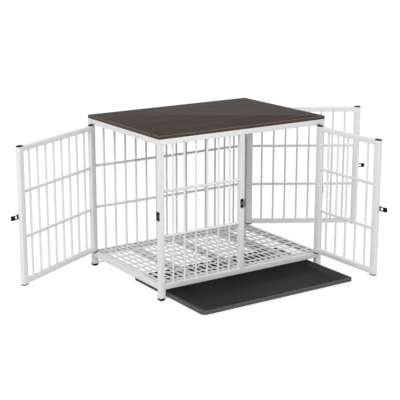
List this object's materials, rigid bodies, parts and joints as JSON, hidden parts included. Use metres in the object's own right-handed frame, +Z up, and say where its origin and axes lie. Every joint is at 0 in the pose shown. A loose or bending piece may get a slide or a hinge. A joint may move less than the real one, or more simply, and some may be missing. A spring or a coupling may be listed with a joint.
{
  "type": "dog crate end table",
  "caption": "White steel-tube dog crate that doubles as an end table, with a wooden top, swinging barred doors, a slotted floor grate and a pull-out tray.",
  "frame": {"origin": "middle of the table top's upper face; the floor is 765 mm below it", "axes": "+Z up, +X to the right along the long side, the tray and the front door come out towards -Y"},
  "size_m": [2.0488, 1.1328, 0.765],
  "materials": {
    "white_steel": "powder coated, satin",
    "walnut_board": "matt walnut",
    "black_plastic": "moulded, fine texture",
    "tray_plastic": "moulded, fine texture",
    "grate_plastic": "moulded, smooth",
    "zinc_steel": "bright zinc"
  },
  "bodies": {
    "crate": {"back_panel_grille": "white_steel", "bottom_rail_back": "white_steel", "bottom_rail_front": "white_steel", "bottom_rail_left": "white_steel", "bottom_rail_right": "white_steel", "floor_beam_left": "white_steel", "floor_beam_middle": "white_steel", "floor_beam_right": "white_steel", "floor_grate": "grate_plastic", "foot_back_left": "black_plastic", "foot_back_right": "black_plastic", "foot_front_left": "black_plastic", "foot_front_right": "black_plastic", "frame_bolt_bottom_left_back": "zinc_steel", "frame_bolt_bottom_left_front": "zinc_steel", "frame_bolt_bottom_right_back": "zinc_steel", "frame_bolt_bottom_right_front": "zinc_steel", "frame_bolt_top_left_back": "zinc_steel", "frame_bolt_top_left_front": "zinc_steel", "frame_bolt_top_right_back": "zinc_steel", "frame_bolt_top_right_front": "zinc_steel", "front_door_keeper": "black_plastic", "front_panel_grille": "white_steel", "left_door_keeper": "black_plastic", "post_back_left": "white_steel", "post_back_right": "white_steel", "post_front_left": "white_steel", "post_front_middle": "white_steel", "post_front_right": "white_steel", "right_door_keeper": "black_plastic", "table_top": "walnut_board", "top_rail_back": "white_steel", "top_rail_front": "white_steel", "top_rail_left": "white_steel", "top_rail_right": "white_steel", "tray_runner_left": "white_steel", "tray_runner_right": "white_steel"},
    "left_door": {"left_door_end_cap_bottom": "black_plastic", "left_door_end_cap_top": "black_plastic", "left_door_frame": "white_steel", "left_door_hinge_cap_bottom": "black_plastic", "left_door_hinge_cap_top": "black_plastic", "left_door_latch_plate": "black_plastic"},
    "front_door": {"front_door_end_cap_bottom": "black_plastic", "front_door_end_cap_top": "black_plastic", "front_door_frame": "white_steel", "front_door_hinge_cap_bottom": "black_plastic", "front_door_hinge_cap_top": "black_plastic", "front_door_latch_plate": "black_plastic"},
    "right_door": {"right_door_end_cap_bottom": "black_plastic", "right_door_end_cap_top": "black_plastic", "right_door_frame": "white_steel", "right_door_hinge_cap_bottom": "black_plastic", "right_door_hinge_cap_top": "black_plastic", "right_door_latch_plate": "black_plastic"},
    "left_latch": {"left_door_latch_bolt": "black_plastic"},
    "front_latch": {"front_door_latch_bolt": "black_plastic"},
    "right_latch": {"right_door_latch_bolt": "black_plastic"},
    "tray": {"tray": "tray_plastic"}
  },
  "joints": [
    {"name": "left_door_hinge", "type": "hinge", "parent": "crate", "child": "left_door", "pos_m": [-0.4665, 0.3005, -0.3635], "axis": [0, 0, 1], "range_deg": [-36.5, 61.5]},
    {"name": "front_door_hinge", "type": "hinge", "parent": "crate", "child": "front_door", "pos_m": [0.4405, -0.3265, -0.3635], "axis": [0, 0, 1], "range_deg": [-90, 8]},
    {"name": "right_door_hinge", "type": "hinge", "parent": "crate", "child": "right_door", "pos_m": [0.4665, 0.3005, -0.3635], "axis": [0, 0, 1], "range_deg": [-58, 40]},
    {"name": "left_latch_slide", "type": "slide", "parent": "left_door", "child": "left_latch", "axis": [-0.8788, -0.4772, 0], "range_m": [-0.006, 0]},
    {"name": "front_latch_slide", "type": "slide", "parent": "front_door", "child": "front_latch", "axis": [0, -1, 0], "range_m": [-0.006, 0]},
    {"name": "right_latch_slide", "type": "slide", "parent": "right_door", "child": "right_latch", "axis": [0.848, -0.5299, 0], "range_m": [-0.006, 0]},
    {"name": "tray_slide", "type": "slide", "parent": "crate", "child": "tray", "axis": [0, -1, 0], "range_m": [-0.32, 0.16]}
  ]
}
